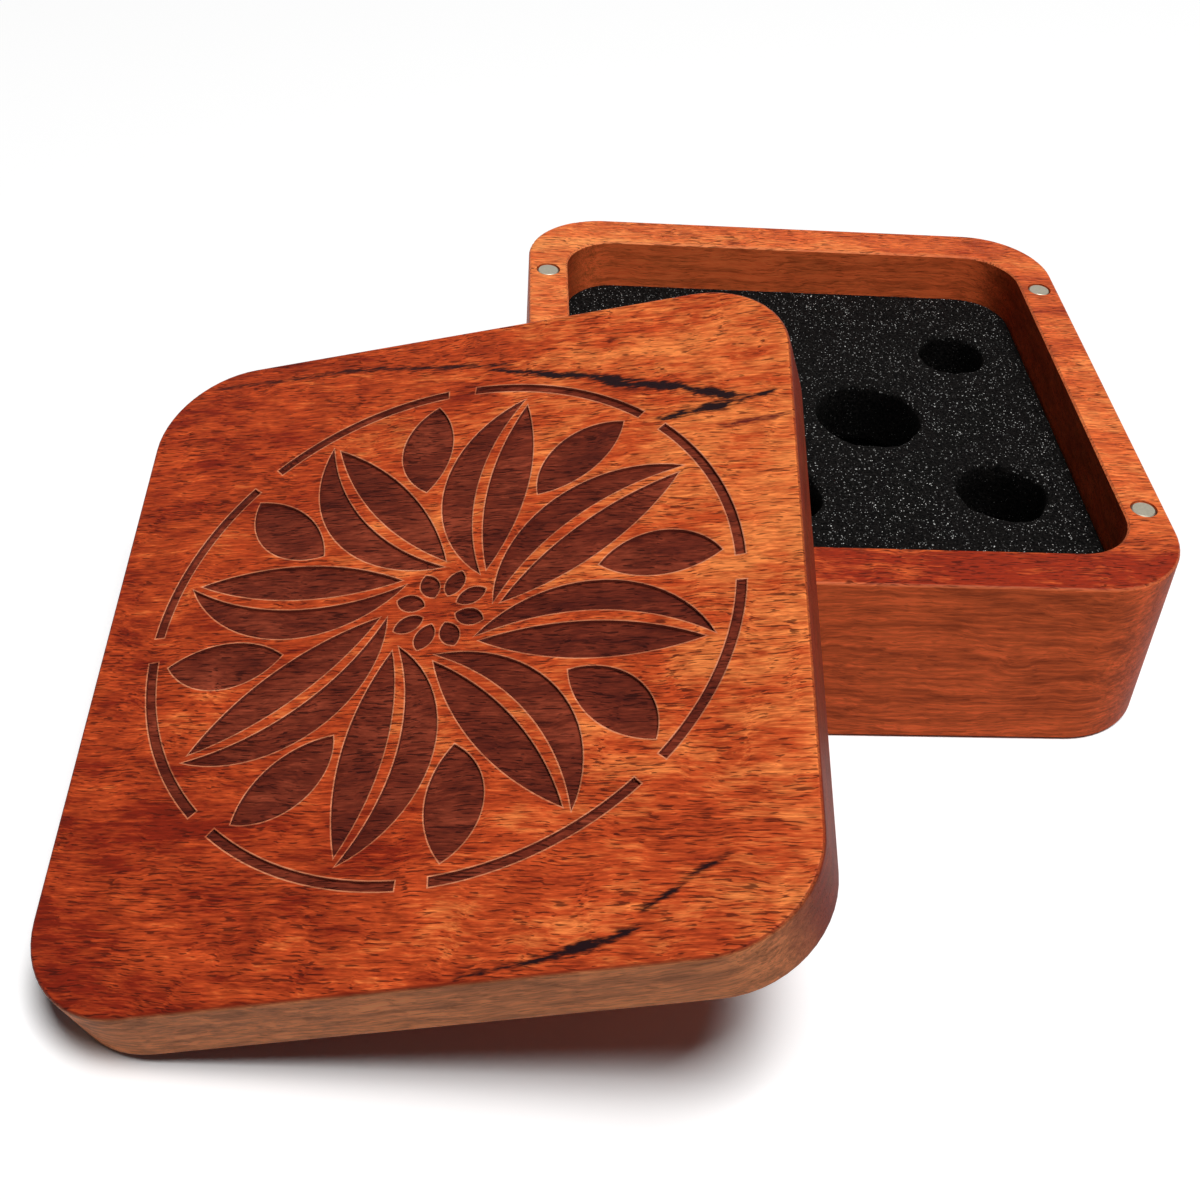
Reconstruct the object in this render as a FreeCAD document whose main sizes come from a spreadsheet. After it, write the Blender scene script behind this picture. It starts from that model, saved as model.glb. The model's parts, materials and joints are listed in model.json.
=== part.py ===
"""Magnetic storage box for a set of seven dice, drawn with its lid taken off.

A block of hardwood is milled into a round-cornered box.  Two sheets of foam lie in
its pocket: a plain one below and one above it with seven holes cut through, one for
each die.  The lid is a plain thick board of the same outline, with a rosette engraved
in its top.  Four disc magnets sit flush in the rim of the box and four more in the
underside of the lid.  The lid leans on the rim with one corner on the table.

Frame: the origin is the middle of the box's underside, X runs along the width, Y to
the back and Z up.  Lengths are in millimetres and angles in degrees.
"""
import FreeCAD, Part
import math
import os

import Sketcher
from FreeCAD import Placement, Rotation, Vector

doc = FreeCAD.newDocument("dice_box")

# ---------------------------------------------------------------- driving sizes
SIZES = {
    # the box, milled from one block
    "box_width": 120,
    "box_depth": 132,
    "box_height": 37,
    "corner_radius": 17.5,
    "side_wall": 8.5,
    "end_wall": 10.5,
    "pocket_radius": 11.5,
    "box_floor": 6,
    "edge_ease": 0.7,
    "foot_bevel": 0.6,
    "mouth_bevel": 0.4,
    # the lid, a plain board of the same outline
    "lid_thick": 13,
    "underside_bevel": 0.6,
    # foam
    "foam_recess": 10.5,
    "foam_base_thick": 5,
    "foam_play": 0.2,
    "large_hole": 22,
    "medium_hole": 18,
    "small_hole": 14.5,
    "hole_pitch_across": 23,
    "hole_pitch_deep": 26,
    "hole_middle_across": 12,
    "hole_middle_deep": 3.5,
    # magnets, in the box and in the lid
    "magnet_diameter": 5,
    "magnet_thick": 3,
    "magnet_sunk": 0.1,
    "magnet_play": 0.1,
    "magnet_bevel": 0.4,
    "magnet_from_end": 24.5,
    # rosette engraved in the lid
    "engraving_deep": 0.6,
    "rosette_margin": 9.4,
    "ring_wide": 1.6,
    "ring_gap": 2,
    "rosette_eye": 9,
    "blade_lead": 10.7,
    "blade_wide": 5.9,
    "vein_wide": 1.4,
    "back_blade_wide": 7.1,
    "leaf_lead": 5.6,
    "leaf_wide": 9.2,
    "leaf_long": 20,
    "petal_wide": 3.2,
    "petal_inner": 3,
    # how the lid lies when it is off
    "lid_turn": -4.4,
    "lean_heading": 210.4,
    "lean_angle": 21.2,
    "lid_slip": 31.2,
    "lid_seat_gap": 0.3,
}
ROSETTE_FOLDS = 8

sheet = doc.addObject("Spreadsheet::Sheet", "Sizes")
for row, (alias, value) in enumerate(SIZES.items(), start=1):
    sheet.set(f"A{row}", alias)
    sheet.set(f"B{row}", str(value))
    sheet.setAlias(f"B{row}", alias)
doc.recompute()


def size(alias):
    """One driving size, read from the sheet."""
    return float(getattr(sheet, alias))


# ------------------------------------------------------------- sketch and feature helpers
def new_body(name):
    """An empty body whose label is the name of its node."""
    body = doc.addObject("PartDesign::Body", name)
    body.Label = name
    return body


def base_plane(body, role):
    """One of the body's own origin planes."""
    return next(item for item in body.Origin.OriginFeatures if item.Role == role)


def flat_sketch(body, name, height=None):
    """A sketch on the body's XY plane, raised by an expression if one is given."""
    sketch = body.newObject("Sketcher::SketchObject", name)
    sketch.AttachmentSupport = [(base_plane(body, "XY_Plane"), "")]
    sketch.MapMode = "FlatFace"
    if height:
        sketch.setExpression("AttachmentOffset.Base.z", height)
    return sketch


def bind(sketch, index, name, expression):
    """Name a sketch dimension and tie it to the sheet."""
    sketch.renameConstraint(index, name)
    sketch.setExpression(f"Constraints.{name}", expression)


def rounded_outline(sketch, width, depth, radius):
    """A centred rectangle with round corners; the three sizes are expressions."""
    half_w, half_d, round_r = 50.0, 55.0, 12.0
    corners = [
        (half_w - round_r, half_d - round_r, 0),
        (round_r - half_w, half_d - round_r, 90),
        (round_r - half_w, round_r - half_d, 180),
        (half_w - round_r, round_r - half_d, 270),
    ]
    arcs = []
    for x, y, start in corners:
        circle = Part.Circle(Vector(x, y, 0), Vector(0, 0, 1), round_r)
        arc = Part.ArcOfCircle(circle, math.radians(start), math.radians(start + 90))
        arcs.append(sketch.addGeometry(arc, False))
    lines = []
    for here, after in zip(arcs, arcs[1:] + arcs[:1]):
        start = sketch.Geometry[here].EndPoint
        end = sketch.Geometry[after].StartPoint
        lines.append(sketch.addGeometry(Part.LineSegment(start, end), False))
    for turn, (here, after) in enumerate(zip(arcs, arcs[1:] + arcs[:1])):
        line = lines[turn]
        sketch.addConstraint(Sketcher.Constraint("Tangent", here, 2, line, 1))
        sketch.addConstraint(Sketcher.Constraint("Tangent", line, 2, after, 1))
        level = "Horizontal" if turn % 2 == 0 else "Vertical"
        sketch.addConstraint(Sketcher.Constraint(level, line))
    for arc in arcs[1:]:
        sketch.addConstraint(Sketcher.Constraint("Equal", arcs[0], arc))
    sketch.addConstraint(Sketcher.Constraint("Symmetric", arcs[0], 3, arcs[2], 3, -1, 1))
    span = sketch.addConstraint(Sketcher.Constraint("DistanceX", lines[1], 1, lines[3], 1, 2 * half_w))
    bind(sketch, span, "width", width)
    span = sketch.addConstraint(Sketcher.Constraint("DistanceY", lines[2], 1, lines[0], 1, 2 * half_d))
    bind(sketch, span, "depth", depth)
    bend = sketch.addConstraint(Sketcher.Constraint("Radius", arcs[0], round_r))
    bind(sketch, bend, "corner", radius)


def round_hole(sketch, name, diameter, x, y):
    """A circle in a sketch; diameter and centre are expressions."""
    guess = Vector(8.0, 6.0, 0)
    hole = sketch.addGeometry(Part.Circle(guess, Vector(0, 0, 1), 3.0), False)
    size_at = sketch.addConstraint(Sketcher.Constraint("Diameter", hole, 6.0))
    bind(sketch, size_at, f"{name}_diameter", diameter)
    for word, axis, place, start in (("x", "DistanceX", x, guess.x), ("y", "DistanceY", y, guess.y)):
        place_at = sketch.addConstraint(Sketcher.Constraint(axis, -1, 1, hole, 3, start))
        bind(sketch, place_at, f"{name}_{word}", place)


def pad(body, sketch, name, length):
    """Grow a sketch upwards; the length is an expression."""
    feature = body.newObject("PartDesign::Pad", name)
    feature.Profile = sketch
    feature.setExpression("Length", length)
    body.Tip = feature
    return feature


def pocket(body, sketch, name, length, upwards=False):
    """Cut a sketch into the body, down from it or up from it."""
    feature = body.newObject("PartDesign::Pocket", name)
    feature.Profile = sketch
    feature.Reversed = upwards
    feature.setExpression("Length", length)
    body.Tip = feature
    return feature


def level_edges(feature, height, half_wide, half_deep):
    """The names of the edges at one height that lie inside a centred rectangle."""
    names = []
    for number, edge in enumerate(feature.Shape.Edges, start=1):
        box = edge.BoundBox
        level = abs(box.ZMin - height) < 1e-4 and abs(box.ZMax - height) < 1e-4
        if level and max(-box.XMin, box.XMax) < half_wide and max(-box.YMin, box.YMax) < half_deep:
            names.append(f"Edge{number}")
    return names


def break_edges(body, name, height, amount, kind="PartDesign::Chamfer", inside=(math.inf, math.inf)):
    """Bevel or round the sharp edges at one height; the amount is an expression."""
    doc.recompute()
    base = body.Tip
    feature = body.newObject(kind, name)
    feature.Base = (base, level_edges(base, height, *inside))
    feature.setExpression("Radius" if kind.endswith("Fillet") else "Size", amount)
    body.Tip = feature


def round_over(body, name, height):
    """Round the sharp edges at one height."""
    break_edges(body, name, height, "Sizes.edge_ease", kind="PartDesign::Fillet")


def volume_of(body):
    """The volume of the body as it stands."""
    doc.recompute()
    return body.Shape.Volume


# ------------------------------------------------------------------- shared places
MAGNET_X = "(Sizes.box_width - Sizes.side_wall) / 2"
MAGNET_Y = "Sizes.box_depth / 2 - Sizes.magnet_from_end"
CORNERS = {
    "front_left": (-1, -1),
    "front_right": (1, -1),
    "back_left": (-1, 1),
    "back_right": (1, 1),
}
BORE_DIAMETER = "Sizes.magnet_diameter + 2 * Sizes.magnet_play"
BORE_DEEP = "Sizes.magnet_thick + Sizes.magnet_sunk"


def magnet_bores(sketch):
    """Four blind bores, one over each magnet."""
    for corner, (side, end) in CORNERS.items():
        round_hole(sketch, corner, BORE_DIAMETER, f"{side} * ({MAGNET_X})", f"{end} * ({MAGNET_Y})")


# ------------------------------------------------------------------------- the box
box = new_body("box_body")
outline = flat_sketch(box, "box_outline")
rounded_outline(outline, "Sizes.box_width", "Sizes.box_depth", "Sizes.corner_radius")
pad(box, outline, "box_block", "Sizes.box_height")
round_over(box, "rim_round", size("box_height"))
break_edges(box, "foot_edge", 0.0, "Sizes.foot_bevel")

well = flat_sketch(box, "well_outline", "Sizes.box_height")
WELL_WIDTH = "Sizes.box_width - 2 * Sizes.side_wall"
WELL_DEPTH = "Sizes.box_depth - 2 * Sizes.end_wall"
rounded_outline(well, WELL_WIDTH, WELL_DEPTH, "Sizes.pocket_radius")
block_volume = volume_of(box)
pocket(box, well, "well", "Sizes.box_height - Sizes.box_floor")
well_volume = block_volume - volume_of(box)
mid_walls = (size("box_width") - size("side_wall")) / 2, (size("box_depth") - size("end_wall")) / 2
break_edges(box, "well_mouth", size("box_height"), "Sizes.mouth_bevel", inside=mid_walls)

rim_bores = flat_sketch(box, "rim_bore_circles", "Sizes.box_height")
magnet_bores(rim_bores)
before_bores = volume_of(box)
pocket(box, rim_bores, "rim_bores", BORE_DEEP)
rim_bore_volume = before_bores - volume_of(box)

# ----------------------------------------------------------------------- the foams
def foam_body(name, thickness):
    """A sheet of foam cut to the pocket."""
    body = new_body(name)
    blank = flat_sketch(body, f"{name}_outline")
    rounded_outline(
        blank,
        f"{WELL_WIDTH} - 2 * Sizes.foam_play",
        f"{WELL_DEPTH} - 2 * Sizes.foam_play",
        "Sizes.pocket_radius - Sizes.foam_play",
    )
    pad(body, blank, f"{name}_sheet", thickness)
    return body


foam_base = foam_body("foam_base", "Sizes.foam_base_thick")
foam_base.setExpression("Placement.Base.z", "Sizes.box_floor")

INSERT_THICK = "Sizes.box_height - Sizes.box_floor - Sizes.foam_recess - Sizes.foam_base_thick"
foam_insert = foam_body("foam_insert", INSERT_THICK)
foam_insert.setExpression("Placement.Base.z", "Sizes.box_floor + Sizes.foam_base_thick")

# Seven holes stand in four staggered files: pitch steps across and deep from the middle one.
DIE_HOLES = {
    "back_right": ("small_hole", 1, 1),
    "front_right": ("medium_hole", 1, -1),
    "middle": ("large_hole", 0, 0),
    "back_centre": ("medium_hole", -1, 1),
    "front_centre": ("medium_hole", -1, -1.1),
    "back_left": ("medium_hole", -2, 0.4),
    "front_left": ("small_hole", -2, -0.6),
}
die_holes = flat_sketch(foam_insert, "die_hole_circles")
for hole, (bore, across, deep) in DIE_HOLES.items():
    round_hole(
        die_holes,
        hole,
        f"Sizes.{bore}",
        f"Sizes.hole_middle_across + {across} * Sizes.hole_pitch_across",
        f"Sizes.hole_middle_deep + {deep} * Sizes.hole_pitch_deep",
    )
sheet_volume = volume_of(foam_insert)
pocket(foam_insert, die_holes, "die_holes", INSERT_THICK, upwards=True)
die_hole_volume = sheet_volume - volume_of(foam_insert)

# ------------------------------------------------------------------------- the lid
lid = new_body("lid_panel")
lid_outline = flat_sketch(lid, "lid_outline")
rounded_outline(lid_outline, "Sizes.box_width", "Sizes.box_depth", "Sizes.corner_radius")
pad(lid, lid_outline, "lid_board", "Sizes.lid_thick")
round_over(lid, "lid_round", size("lid_thick"))
break_edges(lid, "underside_edge", 0.0, "Sizes.underside_bevel")

under_bores = flat_sketch(lid, "under_bore_circles")
magnet_bores(under_bores)
before_bores = volume_of(lid)
pocket(lid, under_bores, "under_bores", BORE_DEEP, upwards=True)
under_bore_volume = before_bores - volume_of(lid)


def polar(radius, angle):
    """A point of the rosette from its radius and its angle in degrees."""
    turn = math.radians(angle)
    return Vector(radius * math.cos(turn), radius * math.sin(turn), 0)


def bowed(start, end, bulge):
    """An arc from start to end that stands bulge off its chord, to the left if positive."""
    chord = end - start
    side = Vector(-chord.y, chord.x, 0).normalize()
    return Part.Arc(start, (start + end) * 0.5 + side * bulge, end)


def leaf(sketch, start, end, lead, wide):
    """A pointed leaf; lead is the bulge of its leading edge, wide the leaf's width."""
    sketch.addGeometry(bowed(start, end, lead), False)
    sketch.addGeometry(bowed(start, end, lead - wide), False)


def ring_bar(sketch, inner, outer, first, last):
    """A curved bar between two radii and two angles."""
    middle = (first + last) / 2
    for radius in (inner, outer):
        ends = polar(radius, first), polar(radius, middle), polar(radius, last)
        sketch.addGeometry(Part.Arc(*ends), False)
    for angle in (first, last):
        sketch.addGeometry(Part.LineSegment(polar(inner, angle), polar(outer, angle)), False)


ring_outer = min(size("box_width"), size("box_depth")) / 2 - size("rosette_margin")
ring_inner = ring_outer - size("ring_wide")
reach = ring_inner - size("ring_gap")
eye = size("rosette_eye")
petal_inner = size("petal_inner")
back_lead = size("blade_lead") - size("blade_wide") - size("vein_wide")

# Each motif is one fold of the rosette: a split blade, a leaf behind it, a petal and a bar.
MOTIFS = {
    "blade": lambda sketch: leaf(
        sketch, polar(eye, 0), polar(reach, 30), size("blade_lead"), size("blade_wide")
    ),
    "back_blade": lambda sketch: leaf(
        sketch, polar(eye + 1.3, -1), polar(reach - 1.4, 29), back_lead, size("back_blade_wide")
    ),
    "leaf": lambda sketch: leaf(
        sketch, polar(reach - size("leaf_long"), 55), polar(reach, 50), size("leaf_lead"), size("leaf_wide")
    ),
    "petal": lambda sketch: leaf(
        sketch, polar(petal_inner, 22), polar(eye - 0.8, 22), size("petal_wide") / 2, size("petal_wide")
    ),
    "bar": lambda sketch: ring_bar(sketch, ring_inner, ring_outer, 3, 42),
}
before_rosette = volume_of(lid)
cuts = []
for motif, draw in MOTIFS.items():
    motif_sketch = flat_sketch(lid, f"rosette_{motif}_outline", "Sizes.lid_thick")
    draw(motif_sketch)
    cuts.append(pocket(lid, motif_sketch, f"rosette_{motif}", "Sizes.engraving_deep"))
rosette = lid.newObject("PartDesign::PolarPattern", "rosette")
rosette.Originals = cuts
rosette.Axis = (cuts[0].Profile[0], ["N_Axis"])
rosette.Angle = 360
rosette.Occurrences = ROSETTE_FOLDS
lid.Tip = rosette
rosette_volume = before_rosette - volume_of(lid)


def reach_along(angle):
    """How far the round-cornered outline reaches from its middle in one direction."""
    turn = math.radians(angle)
    radius = size("corner_radius")
    across = (size("box_width") / 2 - radius) * abs(math.cos(turn))
    deep = (size("box_depth") / 2 - radius) * abs(math.sin(turn))
    return across + deep + radius


def lid_resting_place():
    """Lid with its lowest bevelled corner on the table and its underside on the rim's corner."""
    lean, ease_r = math.radians(size("lean_angle")), size("edge_ease")
    heading, turn = size("lean_heading"), size("lid_turn")
    rise = (reach_along(heading - turn) - size("underside_bevel")) * math.sin(lean)
    rim_reach, rim_rise = reach_along(heading) - ease_r, size("box_height") - ease_r
    stand_off = ease_r + size("lid_seat_gap")
    along = rim_reach + (stand_off - math.cos(lean) * (rise - rim_rise)) / math.sin(lean)
    downhill = polar(1, heading)
    sideways = Vector(-downhill.y, downhill.x, 0)
    place = downhill * along + sideways * size("lid_slip") + Vector(0, 0, rise)
    tilt = Rotation(sideways, size("lean_angle"))
    return Placement(place, tilt.multiply(Rotation(Vector(0, 0, 1), turn)))


lid.Placement = lid_resting_place()


# --------------------------------------------------------------------- the magnets
def magnet_body(name, open_end):
    """A nickel-plated disc, bevelled round its open end, which is at the given height."""
    body = new_body(name)
    disc = flat_sketch(body, f"{name}_disc")
    ring = disc.addGeometry(Part.Circle(Vector(0, 0, 0), Vector(0, 0, 1), 2.5), False)
    disc.addConstraint(Sketcher.Constraint("Coincident", ring, 3, -1, 1))
    across = disc.addConstraint(Sketcher.Constraint("Diameter", ring, 5.0))
    bind(disc, across, "across", "Sizes.magnet_diameter")
    pad(body, disc, f"{name}_blank", "Sizes.magnet_thick")
    break_edges(body, f"{name}_bevel", open_end, "Sizes.magnet_bevel")
    return body


magnets = []
for corner, (side, end) in CORNERS.items():
    rim_magnet = magnet_body(f"box_magnet_{corner}", size("magnet_thick"))
    rim_magnet.setExpression("Placement.Base.x", f"{side} * ({MAGNET_X})")
    rim_magnet.setExpression("Placement.Base.y", f"{end} * ({MAGNET_Y})")
    rim_magnet.setExpression("Placement.Base.z", f"Sizes.box_height - ({BORE_DEEP})")
    doc.recompute()
    lid_magnet = magnet_body(f"lid_magnet_{corner}", 0.0)
    seat = rim_magnet.Placement.Base
    in_lid = Placement(Vector(seat.x, seat.y, size("magnet_sunk")), Rotation())
    lid_magnet.Placement = lid.Placement.multiply(in_lid)
    magnets += [rim_magnet, lid_magnet]
doc.recompute()

# ----------------------------------------------------------------- checks and files
REMOVED = {
    "well": well_volume,
    "rim bores": rim_bore_volume,
    "die holes": die_hole_volume,
    "under bores": under_bore_volume,
    "rosette": rosette_volume,
}
for cut_name, removed in REMOVED.items():
    if removed <= 0:
        raise RuntimeError(f"{cut_name} cut nothing")
for item in doc.Objects:
    if "Invalid" in item.State or "Error" in item.State:
        raise RuntimeError(f"{item.Label} failed: {item.State}")

os.makedirs("parts", exist_ok=True)
for node in [box, foam_base, foam_insert, lid] + magnets:
    if node.Shape.isNull() or not node.Shape.isValid():
        raise RuntimeError(f"{node.Label} has no valid shape")
    node.Shape.exportStep(f"parts/{node.Label}.step")
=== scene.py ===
"""Finish of a magnetic wooden dice box: oiled red-orange wood, cut foam and nickel discs.

Lengths are in metres unless a name ends in _mm, and the origin is the middle of the box's
underside.
"""
import json
import logging
import math
from collections.abc import Iterable, Mapping, Sequence
from dataclasses import dataclass, field
from enum import Enum, IntEnum
from typing import Any

import bpy
from mathutils import Matrix, Vector, noise
from mathutils.geometry import delaunay_2d_cdt


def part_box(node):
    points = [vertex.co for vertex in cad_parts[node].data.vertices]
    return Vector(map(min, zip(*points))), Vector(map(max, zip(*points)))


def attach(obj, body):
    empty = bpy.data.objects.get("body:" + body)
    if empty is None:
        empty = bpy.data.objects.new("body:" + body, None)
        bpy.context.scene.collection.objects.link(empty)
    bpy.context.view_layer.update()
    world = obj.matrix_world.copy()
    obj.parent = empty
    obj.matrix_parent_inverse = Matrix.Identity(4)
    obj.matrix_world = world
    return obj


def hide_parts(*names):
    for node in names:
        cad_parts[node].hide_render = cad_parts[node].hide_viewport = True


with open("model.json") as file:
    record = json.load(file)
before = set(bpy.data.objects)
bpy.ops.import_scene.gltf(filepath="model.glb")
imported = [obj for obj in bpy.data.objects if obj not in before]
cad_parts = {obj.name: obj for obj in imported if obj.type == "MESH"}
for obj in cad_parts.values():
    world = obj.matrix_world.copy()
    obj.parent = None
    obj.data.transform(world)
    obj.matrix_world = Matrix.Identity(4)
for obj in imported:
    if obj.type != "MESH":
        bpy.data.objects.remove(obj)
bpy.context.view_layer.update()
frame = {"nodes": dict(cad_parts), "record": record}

MM = 0.001
log = logging.getLogger("dice_box")

Colour = tuple[float, float, float]


def srgb(*screen: int) -> Colour:
    """A linear colour from red, green and blue on screen, each from 0 to 255."""
    bent = [part / 255 for part in screen]
    return tuple(v / 12.92 if v <= 0.04045 else ((v + 0.055) / 1.055) ** 2.4 for v in bent)


# ---------- shader expressions
class Sig:
    """A value or colour socket of a node tree, used like a number in expressions."""

    def __init__(self, tree: "Shader", socket: bpy.types.NodeSocket) -> None:
        """Keeps the socket and the tree it is in."""
        self.tree = tree
        self.socket = socket

    def _maths(self, operation: str, *terms: Any) -> "Sig":
        """Adds one Math node.

        Args:
            operation: The node's operation.
            terms: Its inputs, numbers or other values, in order.

        Returns:
            The node's result.
        """
        return self.tree.node("ShaderNodeMath", {"operation": operation}, dict(enumerate(terms)))

    def __add__(self, other: Any) -> "Sig":
        """self + other."""
        return self._maths("ADD", self, other)

    __radd__ = __add__

    def __sub__(self, other: Any) -> "Sig":
        """self - other."""
        return self._maths("SUBTRACT", self, other)

    def __rsub__(self, other: Any) -> "Sig":
        """other - self."""
        return self._maths("SUBTRACT", other, self)

    def __mul__(self, other: Any) -> "Sig":
        """self * other."""
        return self._maths("MULTIPLY", self, other)

    __rmul__ = __mul__

    def __abs__(self) -> "Sig":
        """The value without its sign."""
        return self._maths("ABSOLUTE", self)

    def most(self, other: Any) -> "Sig":
        """The larger of two values."""
        return self._maths("MAXIMUM", self, other)

    def ease(self, low: float, high: float) -> "Sig":
        """A smooth step from 0 at low to 1 at high; high may be the smaller.

        Args:
            low: The value that gives 0.
            high: The value that gives 1.

        Returns:
            The step.
        """
        inputs = {"Value": self, 1: min(low, high), 2: max(low, high)}
        step = self.tree.node("ShaderNodeMapRange", {"interpolation_type": "SMOOTHSTEP"}, inputs)
        return step if low <= high else 1 - step


@dataclass(frozen=True)
class Cloud:
    """Soft noise: features per millimetre along each axis, finer layers, and weight in a sum."""

    scales: tuple[float, float, float]
    detail: float = 2.0
    rough: float = 0.5
    weight: float = 1.0


class Shader:
    """A node tree, built from expressions and one method for all nodes."""

    def __init__(self, tree: bpy.types.NodeTree) -> None:
        """Keeps the tree."""
        self.tree = tree

    def node(
        self,
        kind: str,
        settings: Mapping[str, Any] | None = None,
        inputs: Mapping[int | str, Any] | None = None,
        output: int | str = 0,
    ) -> Sig:
        """Adds a node, sets it up and fills its sockets.

        Args:
            kind: The node's type.
            settings: Its properties; "stops" lists a ramp's positions and colours.
            inputs: Socket number or name to a value, a colour or another socket.
            output: Which output to hand back.

        Returns:
            That output.
        """
        node = self.tree.nodes.new(kind)
        for word, value in (settings or {}).items():
            if word == "stops":
                self._set_stops(node.color_ramp, value)
            else:
                setattr(node, word, value)
        for place, value in (inputs or {}).items():
            self.feed(node.inputs[place], value)
        return Sig(self, node.outputs[output])

    @staticmethod
    def _set_stops(ramp: bpy.types.ColorRamp, stops: Sequence[tuple[float, Colour]]) -> None:
        """Gives a ramp its stops.

        Args:
            ramp: The ramp.
            stops: Positions and colours, in order.
        """
        while len(ramp.elements) < len(stops):
            ramp.elements.new(1.0)
        for element, (position, colour) in zip(ramp.elements, stops):
            element.position = position
            element.color = (*colour, 1.0)

    def feed(self, socket: bpy.types.NodeSocket, value: Any) -> None:
        """Links a socket or sets its value.

        Args:
            socket: The socket.
            value: What feeds it, or a number, colour or vector.
        """
        if isinstance(value, Sig):
            self.tree.links.new(value.socket, socket)
        elif socket.type == "RGBA" and not isinstance(value, float):
            socket.default_value = (*value[:3], 1.0)
        else:
            socket.default_value = value

    def scaled(self, vector: Sig, factors: Sequence[float]) -> Sig:
        """A vector stretched by three factors."""
        return self.node("ShaderNodeVectorMath", {"operation": "MULTIPLY"}, {0: vector, 1: factors})

    def shifted(self, vector: Sig, offset: Any) -> Sig:
        """A vector moved by an offset."""
        return self.node("ShaderNodeVectorMath", {"operation": "ADD"}, {0: vector, 1: offset})

    def parts(self, vector: Sig) -> tuple[Sig, Sig, Sig]:
        """The three parts of a vector."""
        split = self.node("ShaderNodeSeparateXYZ", inputs={0: vector}).socket.node
        return tuple(Sig(self, output) for output in split.outputs)

    def cloud(self, vector: Sig, *kinds: Cloud) -> Sig:
        """Soft noises, each times its weight, added up.

        Args:
            vector: Where, in millimetres.
            kinds: The noises.

        Returns:
            The sum; a noise by itself lies about 0.5.
        """
        found = []
        for kind in kinds:
            inputs = {"Vector": self.scaled(vector, kind.scales), "Scale": 1.0}
            inputs |= {"Detail": kind.detail, "Roughness": kind.rough}
            found.append(self.node("ShaderNodeTexNoise", inputs=inputs) * kind.weight)
        return sum(found[1:], start=found[0])

    def ramp(self, value: Sig, stops: Sequence[tuple[float, Colour]]) -> Sig:
        """A colour picked from stops by a value."""
        return self.node("ShaderNodeValToRGB", {"stops": stops}, {0: value})

    def toned(self, value: Sig, colour: Colour, stops: Sequence[tuple[float, float]]) -> Sig:
        """One colour, made darker or brighter by a value.

        Args:
            value: The value.
            colour: The colour.
            stops: Positions of the value and factors of the colour.

        Returns:
            The colour at each point.
        """
        lit = [(position, tuple(factor * part for part in colour)) for position, factor in stops]
        return self.ramp(value, lit)

    def mix(self, share: Any, first: Any, second: Any, mode: str = "MIX") -> Sig:
        """One colour over another.

        Args:
            share: How much of the second colour shows.
            first: The colour below.
            second: The colour above.
            mode: How the second is laid over the first.

        Returns:
            The mixed colour.
        """
        settings = {"data_type": "RGBA", "blend_type": mode}
        return self.node("ShaderNodeMix", settings, {0: share, 6: first, 7: second}, output=2)


class Finish(Shader):
    """A material with one Principled shader."""

    def __init__(self, name: str, stand: Matrix | None = None, **constants: Any) -> None:
        """Makes the material.

        Args:
            name: The material's name.
            stand: The frame of the piece, if not the model's own.
            constants: Principled inputs that are the same all over the surface.
        """
        self.material = bpy.data.materials.new(name)
        self.material.use_nodes = True
        super().__init__(self.material.node_tree)
        self.stand = stand
        self.surface = self.tree.nodes["Principled BSDF"]
        for word, value in constants.items():
            self.surface.inputs[word.replace("_", " ")].default_value = value

    def _coordinate(self, name: str, moved: bool) -> Sig:
        """A texture coordinate in the frame of the piece.

        Args:
            name: Which one.
            moved: Whether the frame's place counts, and not only its turn.

        Returns:
            The coordinate.
        """
        vector = self.node("ShaderNodeTexCoord", output=name)
        if self.stand is None:
            return vector
        origin = self.stand.to_translation() if moved else (0.0, 0.0, 0.0)
        inputs = {"Vector": vector, "Location": origin, "Rotation": self.stand.to_euler()}
        return self.node("ShaderNodeMapping", {"vector_type": "TEXTURE"}, inputs)

    def place_mm(self) -> Sig:
        """The point on the piece, in millimetres."""
        return self.scaled(self._coordinate("Object", moved=True), (1 / MM,) * 3)

    def facing(self) -> Sig:
        """The surface's direction."""
        return self._coordinate("Normal", moved=False)

    def vary(self, name: str, value: Sig) -> None:
        """Drives one of the surface's inputs by what changes over it."""
        self.tree.links.new(value.socket, self.surface.inputs[name])

    def bump(self, height: Sig, depth_mm: float, strength: float = 1.0) -> None:
        """Raises the surface by a height map, depth_mm for each unit of it."""
        inputs = {"Height": height, "Distance": depth_mm * MM, "Strength": strength}
        self.vary("Normal", self.node("ShaderNodeBump", inputs=inputs))


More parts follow.
